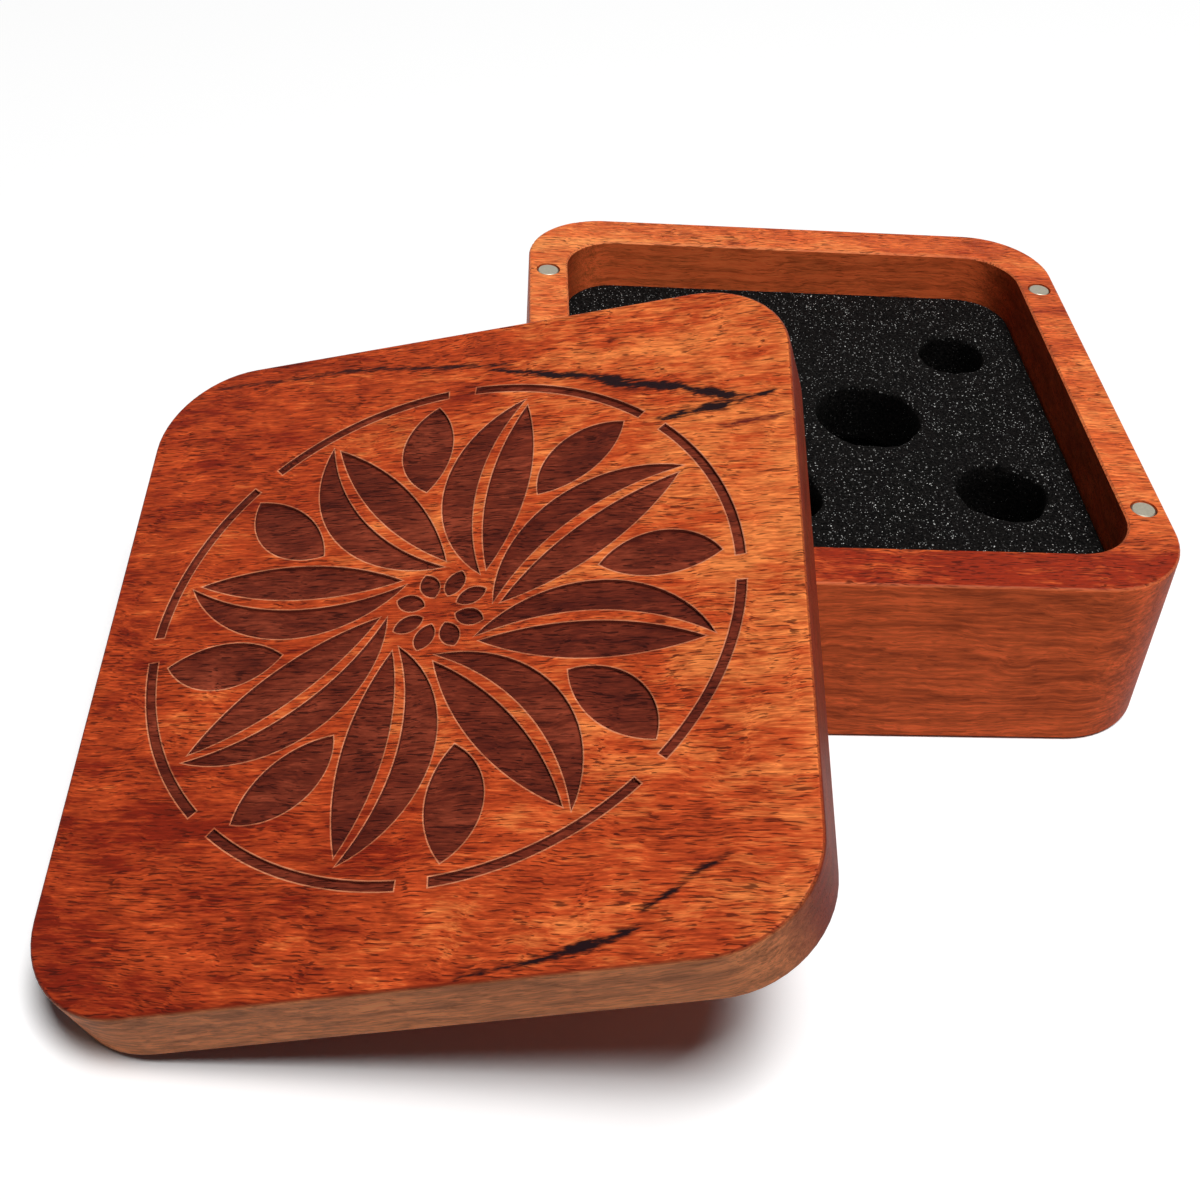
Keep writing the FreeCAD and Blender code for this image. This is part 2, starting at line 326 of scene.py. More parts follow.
# ---------- finishes
@dataclass(frozen=True)
class Streak:
    """A black-brown mineral line that runs along the grain of a board."""

    start_mm: tuple[float, float]
    end_mm: tuple[float, float]
    half_wide_mm: float
    wander_mm: float = 2.0
    colour: Colour = srgb(26, 5, 9)

    WANDER = Cloud((0.16, 0.03, 0.03), 3.0, 0.6)
    FEATHER = Cloud((0.4, 2.6, 2.6), 2.0, 0.6)
    FEATHER_MM = 2.2
    WIDTH = Cloud((0.16, 0.25, 0.25), 3.0, 0.6)
    WIDTH_GAIN = 2.4
    CORE = (-0.6, 0.45)
    OUTSIDE_MM = 2.0
    INSIDE_MM = 4.0

    def mask(self, shader: Shader, place: Sig) -> Sig:
        """Where the streak shows on the face of the board.

        Args:
            shader: The material's tree.
            place: The point on the board, in millimetres.

        Returns:
            1 in the streak and 0 off it.
        """
        along, across, _ = shader.parts(place)
        (x0, y0), (x1, y1) = self.start_mm, self.end_mm
        slope = (y1 - y0) / (x1 - x0)
        wander = (shader.cloud(place, self.WANDER) - 0.5) * (2 * self.wander_mm)
        feather = (shader.cloud(place, self.FEATHER) - 0.5) * self.FEATHER_MM
        width = (shader.cloud(place, self.WIDTH) - 0.25) * (self.WIDTH_GAIN * self.half_wide_mm)
        off_line = abs(across - (along * slope + (y0 - slope * x0) + wander))
        ends = along.ease(x0 - self.OUTSIDE_MM, x0 + self.INSIDE_MM)
        ends = ends * along.ease(x1 + self.OUTSIDE_MM, x1 - self.INSIDE_MM)
        return (width * ends - off_line + feather).ease(*self.CORE) * ends.ease(0.0, 0.4)


@dataclass(frozen=True)
class Band:
    """A darker or paler stripe that runs along the grain."""

    across_mm: float
    half_wide_mm: float
    shift: float
    side_shift: float = 0.0

    SOFT = 0.35

    def mask(self, across: Sig) -> Sig:
        """1 in the middle of the stripe and 0 outside it."""
        away = abs(across - self.across_mm)
        return away.ease(self.half_wide_mm * (1 + self.SOFT), self.half_wide_mm * (1 - self.SOFT))


@dataclass(frozen=True)
class Wood:
    """Oiled red-orange hardwood whose grain runs along X."""

    name: str
    dark: Colour
    middle: Colour
    light: Colour
    side: Colour
    end: Colour
    # Painted light on the eased top edges: pale as a painted highlight on the box, dark as painted
    # shade on the lid.
    edge: Colour
    side_share: float = 0.85
    side_fibre: float = 0.55
    edge_share: float = 0.7
    pore_share: float = 0.75
    contrast: float = 1.0
    lean: float = 0.0
    pore: Colour = srgb(62, 16, 10)
    seed_mm: tuple[float, float, float] = (0.0, 0.0, 0.0)
    tone_per_mm: tuple[float, float] = (0.0, 0.0)
    bands: tuple[Band, ...] = ()
    streaks: tuple[Streak, ...] = ()
    roughness: float = 0.5

    def material(self, stand: Matrix | None = None) -> bpy.types.Material:
        """The wood's material in the frame of a board, or in the model's own."""
        return Board(self, stand).material


class Board(Finish):
    """The material of a board: figure, fibres, ripples, pores, streaks, a duller side, and painted
    light on its eased edges.
    """

    DRIFT = Cloud((0.012, 0.03, 0.03))
    DRIFT_MM = 9.0
    CURL = Cloud((0.1, 0.07, 0.12))
    CURL_MM = (2.0, 2.6)
    FIBRE = Cloud((0.2, 2.3, 2.3), 3.0, 0.7)
    FIBRE_TONE = 0.22
    FIBRE_SHADE = 0.5
    FINE_FIBRE = Cloud((0.5, 4.6, 4.6), 1.0, weight=0.3)
    RIPPLE = Cloud((0.24, 0.05, 0.08), weight=0.2)
    RIPPLE_TURN = (0.87, 0.5)
    SHADES = ((0.34, 0.54), (0.5, 0.98), (0.66, 1.4))
    FIGURE = (
        Cloud((0.012, 0.13, 0.13), 3.0, 0.55, 0.32),
        Cloud((0.06, 0.09, 0.09), 3.0, 0.6, 0.4),
        Cloud((0.13, 0.6, 0.6), 3.0, 0.7, 0.42),
    )
    FIGURE_STOPS = (0.37, 0.5, 0.63)
    SIDE = (Cloud((0.025, 0.4, 0.4), 3.0, 0.6, 0.55), Cloud((0.1, 1.3, 1.3), weight=0.45))
    SIDE_STOPS = ((0.38, 0.6), (0.5, 1.0), (0.66, 1.6))
    END = (Cloud((0.01, 0.07, 0.34), 3.0, 0.6, 0.6), Cloud((0.02, 0.3, 1.1), 3.0, weight=0.4))
    END_STOPS = ((0.38, 0.6), (0.5, 1.0), (0.64, 1.45))
    END_PORES = Cloud((0.05, 1.9, 1.9))
    END_PORE_STEP = (0.57, 0.66)
    PORES = Cloud((0.34, 3.3, 3.3), 1.0, 0.4)
    PORE_CROWDS = Cloud((0.05, 0.16, 0.16), 1.0)
    PORE_CROWDING = 0.24
    PORE_STEP = (0.59, 0.68)
    SIDE_PORES = 0.35
    FLAT_STEP = (0.35, 0.9)
    END_STEP = (0.35, 0.95)
    EDGE_STEPS = ((0.15, 0.45), (0.97, 0.85))
    EDGE_DASH_STEP = (0.36, 0.52)
    GRAIN_DEPTH_MM = 0.05

    def __init__(self, wood: Wood, stand: Matrix | None) -> None:
        """Builds the material.

        Args:
            wood: The wood's colours and figure.
            stand: The frame of the board, if not the model's own.
        """
        super().__init__(wood.name, stand, Specular_IOR_Level=0.07)
        self.wood = wood
        self.place = self.place_mm()
        self.grain = self._grain()
        self.fibre = self.cloud(self.grain, self.FIBRE)
        shade = self._shade()
        colour = self.mix(1.0, self._face(), shade, "MULTIPLY")
        facing_x, _, facing_z = self.parts(self.facing())
        sideways = 1 - abs(facing_z).ease(*self.FLAT_STEP)
        side = self.mix(abs(facing_x).ease(*self.END_STEP), self._side(), self._end())
        side = self.mix(wood.side_fibre, side, shade, "MULTIPLY")
        colour = self.mix(sideways * wood.side_share, colour, side)
        # Painted light: the eased top edges, found by their slant, take the edge colour in dashes
        # along the fibres, a painted highlight on the box and painted shade on the lid.
        rise, fall = self.EDGE_STEPS
        slanting = facing_z.ease(*rise) * facing_z.ease(*fall)
        painted_edge_light_and_shade = slanting * (self.fibre.ease(*self.EDGE_DASH_STEP) * 0.7 + 0.3)
        colour = self.mix(painted_edge_light_and_shade * wood.edge_share, colour, wood.edge)
        pores = self._pores() * (1 - sideways * (1 - self.SIDE_PORES))
        colour = self.mix(pores * wood.pore_share, colour, wood.pore)
        for streak in wood.streaks:
            colour = self.mix(streak.mask(self, self.place), colour, streak.colour)
        self.vary("Base Color", colour)
        self.vary("Roughness", self.fibre * 0.16 + pores * 0.2 + (wood.roughness - 0.08))
        self.bump(self.fibre * 0.5 - pores, self.GRAIN_DEPTH_MM)

    def _grain(self) -> Sig:
        """The point in the log with the fibres' lean, slow drift and fine curl taken out.

        Returns:
            The point along straight fibres, in millimetres.
        """
        inputs = {"Vector": self.shifted(self.place, self.wood.seed_mm)}
        inputs["Angle"] = math.radians(-self.wood.lean)
        spot = self.node("ShaderNodeVectorRotate", {"rotation_type": "Z_AXIS"}, inputs)
        drift = (self.cloud(spot, self.DRIFT) - 0.5) * self.DRIFT_MM
        curl = self.cloud(spot, self.CURL) - 0.5
        inputs = {1: drift + curl * self.CURL_MM[0], 2: drift + curl * self.CURL_MM[1]}
        return self.shifted(spot, self.node("ShaderNodeCombineXYZ", inputs=inputs))

    def _face(self) -> Sig:
        """The figure of a flat face, from dark over middle to light.

        Returns:
            Its colour.
        """
        middle = sum(cloud.weight for cloud in self.FIGURE) / 2
        along, across, _ = self.parts(self.place)
        tone = (self.cloud(self.grain, *self.FIGURE) - middle) * self.wood.contrast + 0.5
        # A steady change of tone along X and Y; on the lid it is painted light, brighter towards
        # its right and back.
        tone = tone + along * self.wood.tone_per_mm[0] + across * self.wood.tone_per_mm[1]
        for band in self.wood.bands:
            tone = tone + band.mask(across) * band.shift
        tone = tone + (self.fibre - 0.5) * self.FIBRE_TONE
        colours = self.wood.dark, self.wood.middle, self.wood.light
        return self.ramp(tone, tuple(zip(self.FIGURE_STOPS, colours)))

    def _shade(self) -> Sig:
        """Light and dark fibres with a slanting ripple over them.

        Returns:
            A grey to multiply the colour by.
        """
        (major, minor), (along, across, height) = self.RIPPLE_TURN, self.parts(self.grain)
        inputs = {0: along * major + across * minor, 1: across * major - along * minor, 2: height}
        slanted = self.node("ShaderNodeCombineXYZ", inputs=inputs)
        mixed = self.fibre * self.FIBRE_SHADE + self.cloud(self.grain, self.FINE_FIBRE)
        mixed = mixed + self.cloud(slanted, self.RIPPLE)
        return self.toned(mixed, (1.0, 1.0, 1.0), self.SHADES)

    def _side(self) -> Sig:
        """The wood of an upright face, in thin wavy bands of the wood's side colour; on the lid
        that colour is painted light, paler than its top.

        Returns:
            Its colour.
        """
        across = self.parts(self.place)[1]
        layer = self.cloud(self.grain, *self.SIDE)
        for band in self.wood.bands:
            layer = layer + band.mask(across) * band.side_shift
        return self.toned(layer, self.wood.side, self.SIDE_STOPS)

    def _end(self) -> Sig:
        """The darker wood of an end face, with faint growth layers and open pores.

        Returns:
            Its colour.
        """
        colour = self.toned(self.cloud(self.grain, *self.END), self.wood.end, self.END_STOPS)
        dots = self.cloud(self.grain, self.END_PORES).ease(*self.END_PORE_STEP)
        return self.mix(dots * 0.5, colour, self.wood.pore)

    def _pores(self) -> Sig:
        """Short dark dashes along the grain, denser in some patches.

        Returns:
            1 in a pore and 0 between them.
        """
        crowd = (self.cloud(self.grain, self.PORE_CROWDS) - 0.5) * self.PORE_CROWDING
        return (self.cloud(self.grain, self.PORES) + crowd).ease(*self.PORE_STEP)


@dataclass(frozen=True)
class PaintedGlints:
    """A layer of painted glints, bright points: their radius as a share of a cell, and the share of
    empty cells.
    """

    cells_per_mm: float
    radius: float
    empty: float

    def mask(self, shader: Shader, place: Sig) -> Sig:
        """Where the painted glints show; few of them are bright.

        Args:
            shader: The material's tree.
            place: The point on the foam, in millimetres.

        Returns:
            How much of the points' colour shows.
        """
        inputs = {"Vector": place, "Scale": self.cells_per_mm}
        distance = shader.node("ShaderNodeTexVoronoi", inputs=inputs)
        chance, glint, _ = shader.parts(Sig(shader, distance.socket.node.outputs["Color"]))
        shown = distance.ease(self.radius, self.radius * 0.4)
        shown = shown * chance.ease(self.empty, self.empty + 0.02)
        return shown * (glint * glint * glint)


@dataclass(frozen=True)
class FoamSkin:
    """Charcoal open-cell foam whose cell walls catch the light, drawn as pale specks in its colour:
    painted glints.
    """

    name: str = "charcoal_foam"
    ground: Colour = srgb(4, 4, 4)
    lift: Colour = srgb(27, 25, 24)
    painted_glint: Colour = srgb(246, 246, 242)
    layers: tuple[PaintedGlints, ...] = (
        PaintedGlints(0.62, 0.17, 0.6),
        PaintedGlints(1.1, 0.2, 0.66),
        PaintedGlints(1.7, 0.27, 0.68),
        PaintedGlints(2.6, 0.36, 0.62),
    )

    MOTTLE = Cloud((1.6, 1.6, 1.6), 3.0, 0.75)
    CROWDS = Cloud((0.09, 0.09, 0.09))
    CELLS = Cloud((1.7, 1.7, 1.7), 2.0, 0.7)
    CELL_DEPTH_MM = 0.5

    def material(self) -> bpy.types.Material:
        """Builds the foam.

        Returns:
            The material.
        """
        shader = Finish(self.name, Roughness=0.95, Specular_IOR_Level=0.04)
        place = shader.place_mm()
        mottle = shader.cloud(place, self.MOTTLE)
        colour = shader.ramp(mottle, ((0.42, self.ground), (0.62, self.lift)))
        crowd = shader.cloud(place, self.CROWDS).ease(0.3, 0.6) * 0.5 + 0.5
        # Painted shade on the painted glints: fewer of them on faces that do not face up, such as
        # the holes' walls.
        open_to_light = shader.parts(shader.facing())[2].ease(0.1, 0.8) * 0.85 + 0.15
        for layer in self.layers:
            share = layer.mask(shader, place) * crowd * open_to_light
            colour = shader.mix(share, colour, self.painted_glint)
        shader.vary("Base Color", colour)
        shader.bump(shader.cloud(place, self.CELLS), self.CELL_DEPTH_MM, 0.8)
        return shader.material


@dataclass(frozen=True)
class Nickel:
    """Satin nickel plating with fine scuffs."""

    name: str = "satin_nickel"
    tint: Colour = srgb(170, 163, 146)

    SCUFFS = Cloud((2.2, 2.2, 2.2), 4.0, 0.7)
    SCUFF_DEPTH_MM = 0.01

    def material(self) -> bpy.types.Material:
        """Builds the plating.

        Returns:
            The material.
        """
        shader = Finish(self.name, Metallic=1.0)
        scuff = shader.cloud(shader.place_mm(), self.SCUFFS)
        shader.vary("Base Color", shader.toned(scuff, self.tint, ((0.3, 0.8), (0.7, 1.0))))
        shader.vary("Roughness", scuff * 0.25 + 0.3)
        shader.bump(scuff, self.SCUFF_DEPTH_MM, 0.4)
        return shader.material


# ---------- mesh tools
Point = tuple[float, float]
MITRE_LIMIT = 2.2
INSIDE_FACES = 1
MERGE_DISTANCE = 1e-9


def rounded_outline(width: float, depth: float, radius: float, steps: int = 14) -> list[Point]:
    """A centred rectangle with round corners, anticlockwise.

    Args:
        width: Its size along X.
        depth: Its size along Y.
        radius: The corners' radius.
        steps: Segments in a corner.

    Returns:
        Its points.
    """
    points = []
    for turn, (side, end) in enumerate(((1, 1), (-1, 1), (-1, -1), (1, -1))):
        x, y = side * (width / 2 - radius), end * (depth / 2 - radius)
        for step in range(steps + 1):
            angle = math.pi / 2 * (turn + step / steps)
            points.append((x + radius * math.cos(angle), y + radius * math.sin(angle)))
    return points


def circle(centre: Point, radius: float, steps: int = 40) -> list[Point]:
    """A circle, anticlockwise.

    Args:
        centre: Its middle.
        radius: Its radius.
        steps: Segments.

    Returns:
        Its points.
    """
    x, y = centre
    turns = [2 * math.pi * step / steps for step in range(steps)]
    return [(x + radius * math.cos(turn), y + radius * math.sin(turn)) for turn in turns]


def widened(points: Sequence[Point], by: float) -> list[Point]:
    """A closed anticlockwise outline moved outwards.

    Args:
        points: The outline.
        by: How far.

    Returns:
        Its points; sharp tips are cut short.
    """
    moved = []
    for before, here, after in zip(points[-1:] + points[:-1], points, points[1:] + points[:1]):
        first = Vector((here[1] - before[1], before[0] - here[0])).normalized()
        second = Vector((after[1] - here[1], here[0] - after[0])).normalized()
        bisector = first + second
        stretch = min(2 / max(bisector.length, 1e-6), MITRE_LIMIT)
        out = bisector.normalized() * by * stretch
        moved.append((here[0] + out.x, here[1] + out.y))
    return moved


class Skin:
    """A mesh put together from rings of points, walls between rings and flat fills."""

    def __init__(self) -> None:
        """Starts with nothing."""
        self.points: list[Vector] = []
        self.faces: list[tuple[int, ...]] = []
        self.slots: list[int] = []
        self.smooth: list[bool] = []

    def ring(self, outline: Iterable[Point], height: float) -> list[int]:
        """Adds a ring of points at one height.

        Args:
            outline: The ring in plan.
            height: Its height.

        Returns:
            The points' numbers.
        """
        first = len(self.points)
        self.points += [Vector((x, y, height)) for x, y in outline]
        return list(range(first, len(self.points)))

    def wall(self, low: Sequence[int], high: Sequence[int], slot: int = 0) -> None:
        """Joins two rings with as many points.

        Args:
            low: The lower ring; the wall faces out if it runs anticlockwise.
            high: The upper ring.
            slot: The wall's material slot.
        """
        for here in range(len(low)):
            after = (here + 1) % len(low)
            self.faces.append((low[here], low[after], high[after], high[here]))
            self.slots.append(slot)
            self.smooth.append(True)

    def stack(self, rings: Sequence[Sequence[int]]) -> None:
        """Walls between each ring and the next."""
        for low, high in zip(rings, rings[1:]):
            self.wall(low, high)

    def fill(
        self,
        outer: Sequence[int],
        holes: Sequence[Sequence[int]] = (),
        slot: int = 0,
        up: bool = True,
        extra: Sequence[Point] = (),
    ) -> None:
        """Closes the space inside one ring and outside others.

        Args:
            outer: The ring round the face.
            holes: Rings left open in it.
            slot: The face's material slot.
            up: Whether it faces up.
            extra: More points inside the face, which is then shaded smoothly.
        """
        height = self.points[outer[0]].z
        numbers, loops = [], []
        for ring in (outer, *holes):
            loops.append(list(range(len(numbers), len(numbers) + len(ring))))
            numbers += ring
        numbers += self.ring(extra, height)
        flat = [self.points[number].to_2d() for number in numbers]
        places, _, faces, origins, _, sources = delaunay_2d_cdt(
            flat, [], loops, INSIDE_FACES, MERGE_DISTANCE
        )
        known = []
        for place, origin in zip(places, origins):
            known.append(numbers[origin[0]] if origin else self.ring([place], height)[0])
        for face, source in zip(faces, sources):
            if list(source) == [0]:
                corners = [known[corner] for corner in face]
                self.faces.append(tuple(corners if up else reversed(corners)))
                self.slots.append(slot)
                self.smooth.append(bool(extra))

    def build(
        self,
        name: str,
        materials: Sequence[bpy.types.Material],
        place: Matrix | None = None,
    ) -> bpy.types.Object:
        """Makes the object.

        Args:
            name: Its name.
            materials: Its material slots.
            place: The frame its points are given in, if not the model's own.

        Returns:
            The object, in the scene.
        """
        mesh = bpy.data.meshes.new(name)
        mesh.from_pydata(self.points, [], self.faces)
        for material in materials:
            mesh.materials.append(material)
        mesh.polygons.foreach_set("material_index", self.slots)
        mesh.polygons.foreach_set("use_smooth", self.smooth)
        if place is not None:
            mesh.transform(place)
        mesh.validate()
        mesh.update()
        piece = bpy.data.objects.new(name, mesh)
        bpy.context.scene.collection.objects.link(piece)
        return piece


def eased(radius: float, steps: int = 5) -> list[Point]:
    """Inset and drop of a rounded edge, from the wall to the face."""
    turns = [math.pi / 2 * step / steps for step in range(steps + 1)]
    return [(radius * (1 - math.cos(turn)), radius * (1 - math.sin(turn))) for turn in turns]


# ---------- the lid
class Motif(Enum):
    """The shapes that one fold of the rosette repeats."""

    BLADE = "blade"
    BACK_BLADE = "back_blade"
    LEAF = "leaf"
    PETAL = "petal"
    BAR = "bar"


@dataclass
class Rosette:
    """A generic whirl of split leaves inside a broken ring, in the lid's own plan.

    Angles are in degrees from the start of a fold.
    """

    ring_outer: float
    folds: int = 8
    ring_wide: float = 1.6 * MM
    ring_gap: float = 2 * MM
    bar_start: float = 3.0
    bar_sweep: float = 39.0
    bar_steps: int = 16
    eye: float = 9 * MM
    blade_lead: float = 10.7 * MM
    blade_wide: float = 5.9 * MM
    blade_sweep: float = 30.0
    vein_wide: float = 1.4 * MM
    back_blade_wide: float = 7.1 * MM
    back_blade_lag: float = 1.0
    back_blade_start: float = 1.3 * MM
    back_blade_end: float = 1.4 * MM
    leaf_lead: float = 5.6 * MM
    leaf_wide: float = 9.2 * MM
    leaf_long: float = 20 * MM
    leaf_turns: tuple[float, float] = (55.0, 50.0)
    petal_wide: float = 3.2 * MM
    petal_inner: float = 3 * MM
    petal_gap: float = 0.8 * MM
    petal_turn: float = 22.0

    @staticmethod
    def polar(radius: float, angle: float) -> Vector:
        """A point from its radius and its angle in degrees."""
        turn = math.radians(angle)
        return Vector((radius * math.cos(turn), radius * math.sin(turn)))

    @staticmethod
    def bowed(start: Vector, end: Vector, bulge: float, steps: int = 22) -> list[Vector]:
        """Points of an arc that stands bulge off its chord, to the left if positive.

        Args:
            start: Where it starts.
            end: Where it ends.
            bulge: Its rise at the middle.
            steps: Segments.

        Returns:
            Its points, both ends included.
        """
        chord = end - start
        along, side = chord.normalized(), Vector((-chord.y, chord.x)).normalized()
        half = chord.length / 2
        radius = (half * half + bulge * bulge) / (2 * abs(bulge))
        reach = math.asin(min(1.0, half / radius))
        points = []
        for step in range(steps + 1):
            turn = reach * (2 * step / steps - 1)
            rise = math.copysign(radius * math.cos(turn) - (radius - abs(bulge)), bulge)
            points.append(start + along * (half + radius * math.sin(turn)) + side * rise)
        return points

    def leaf(self, start: Vector, end: Vector, lead: float, wide: float) -> list[Vector]:
        """A pointed leaf between two arcs, anticlockwise."""
        trailing = self.bowed(start, end, lead - wide)
        return trailing + self.bowed(start, end, lead)[-2:0:-1]

    def outline(self, motif: Motif) -> list[Vector]:
        """One motif in the first fold.

        Args:
            motif: Which one.

        Returns:
            Its points, anticlockwise.
        """
        inner = self.ring_outer - self.ring_wide
        reach = inner - self.ring_gap
        if motif is Motif.BLADE:
            start, end = self.polar(self.eye, 0), self.polar(reach, self.blade_sweep)
            return self.leaf(start, end, self.blade_lead, self.blade_wide)
        if motif is Motif.BACK_BLADE:
            start = self.polar(self.eye + self.back_blade_start, -self.back_blade_lag)
            end = self.polar(reach - self.back_blade_end, self.blade_sweep - self.back_blade_lag)
            lead = self.blade_lead - self.blade_wide - self.vein_wide
            return self.leaf(start, end, lead, self.back_blade_wide)
        if motif is Motif.LEAF:
            start = self.polar(reach - self.leaf_long, self.leaf_turns[0])
            end = self.polar(reach, self.leaf_turns[1])
            return self.leaf(start, end, self.leaf_lead, self.leaf_wide)
        if motif is Motif.PETAL:
            start = self.polar(self.petal_inner, self.petal_turn)
            end = self.polar(self.eye - self.petal_gap, self.petal_turn)
            return self.leaf(start, end, self.petal_wide / 2, self.petal_wide)
        steps = range(self.bar_steps + 1)
        turns = [self.bar_start + self.bar_sweep * step / self.bar_steps for step in steps]
        outer_arc = [self.polar(self.ring_outer, turn) for turn in turns]
        return outer_arc + [self.polar(inner, turn) for turn in reversed(turns)]

    def outlines(self) -> list[list[Point]]:
        """Every motif in every fold.

        Returns:
            Their outlines.
        """
        found = []
        for fold in range(self.folds):
            spin = Matrix.Rotation(2 * math.pi * fold / self.folds, 2)
            found += [[tuple(spin @ point) for point in self.outline(motif)] for motif in Motif]
        return found


CORNERS = ("front_left", "front_right", "back_left", "back_right")


class LidSlot(IntEnum):
    """The lid's material slots."""

    FACE = 0
    FLOOR = 1
    CUT_HIGHLIGHT = 2


@dataclass
class Lid:
    """A thick board of the box's outline with an engraved face and four blind bores."""

    node: str = "lid_panel"
    body: str = "lid"
    corner_radius: float = 17.5 * MM
    edge_ease: float = 0.7 * MM
    foot_bevel: float = 0.6 * MM
    support: float = 0.5 * MM
    engraving_deep: float = 0.6 * MM
    # width of the painted highlight band round each motif
    cut_line: float = 0.22 * MM
    rosette_margin: float = 9.4 * MM
    bore_radius: float = 2.6 * MM
    bore_deep: float = 3.1 * MM
    magnets: tuple[str, ...] = tuple(f"lid_magnet_{corner}" for corner in CORNERS)
    frame: Matrix = field(default_factory=lambda: Matrix.Identity(4))
    size: Vector = field(default_factory=lambda: Vector((0, 0, 0)))

    def find(self) -> None:
        """Reads where the board stands and how large it is from its magnets and its solid."""
        spots = [(Vector(low) + Vector(high)) / 2 for low, high in map(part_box, self.magnets)]
        along = (spots[1] - spots[0]).normalized()
        up = along.cross(spots[2] - spots[0]).normalized()
        deep = up.cross(along)
        turn = Matrix((along, deep, up)).transposed()
        solid = frame["nodes"][self.node].data
        local = [turn.transposed() @ vertex.co for vertex in solid.vertices]
        low = Vector([min(point[axis] for point in local) for axis in range(3)])
        high = Vector([max(point[axis] for point in local) for axis in range(3)])
        self.size = high - low
        origin = turn @ Vector((*((low + high) / 2).to_2d(), low.z))
        self.frame = Matrix.Translation(origin) @ turn.to_4x4()

    def make(self, face: Wood, floor: Wood, line: Wood) -> bpy.types.Object:
        """Builds the board.

        Args:
            face: The wood of the board.
            floor: The darker wood at the bottom of the engraving.
            line: The pale band round each motif on the top face, a painted highlight on the edge of
                the cut.

        Returns:
            The piece.
        """
        self.find()
        skin = Skin()
        thick = self.size.z
        upright = self.foot_bevel + self.support, thick - self.edge_ease - self.support
        levels = [(self.foot_bevel, 0.0), (0.0, self.foot_bevel)]
        levels += [(0.0, height) for height in upright]
        levels += [(inset, thick - drop) for inset, drop in eased(self.edge_ease)]
        rings = [self._outline_ring(skin, inset, height) for inset, height in levels]
        skin.stack(rings)
        self._engrave(skin, rings[-1], thick)
        self._bore(skin, rings[0])
        finishes = [wood.material(self.frame) for wood in (face, floor, line)]
        piece = skin.build("lid_board", finishes, self.frame)
        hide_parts(self.node)
        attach(piece, self.body)
        return piece

    def _outline_ring(self, skin: Skin, inset: float, height: float) -> list[int]:
        """The board's outline, drawn in by inset."""
        width, depth = self.size.x - 2 * inset, self.size.y - 2 * inset
        return skin.ring(rounded_outline(width, depth, self.corner_radius - inset), height)

    def _engrave(self, skin: Skin, rim: list[int], height: float) -> None:
        """Closes the top face round the motifs and sinks their floors.

        Args:
            skin: The mesh.
            rim: The ring round the face.
            height: The face's height.
        """
        rosette = Rosette(ring_outer=min(self.size.x, self.size.y) / 2 - self.rosette_margin)
        holes = []
        for outline in rosette.outlines():
            outer = skin.ring(widened(outline, self.cut_line), height)
            lip = skin.ring(outline, height)
            floor = skin.ring(outline, height - self.engraving_deep)
            # A flat pale band round each motif on the top face: painted highlight on the edge of
            # the cut.
            skin.wall(outer, lip, LidSlot.CUT_HIGHLIGHT)
            skin.wall(lip, floor, LidSlot.FLOOR)
            skin.fill(floor, slot=LidSlot.FLOOR)
            holes.append(outer)
        skin.fill(rim, holes)

    def _bore(self, skin: Skin, rim: list[int]) -> None:
        """Closes the underside round the four magnet bores.

        Args:
            skin: The mesh.
            rim: The ring round the underside.
        """
        holes = []
        for magnet in self.magnets:
            low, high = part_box(magnet)
            centre = self.frame.inverted() @ ((Vector(low) + Vector(high)) / 2)
            outline = circle(centre[:2], self.bore_radius)
            mouth, end = skin.ring(outline, 0.0), skin.ring(outline, self.bore_deep)
            skin.wall(end, mouth)
            skin.fill(end, up=False)
            holes.append(mouth)
        skin.fill(rim, holes, up=False)


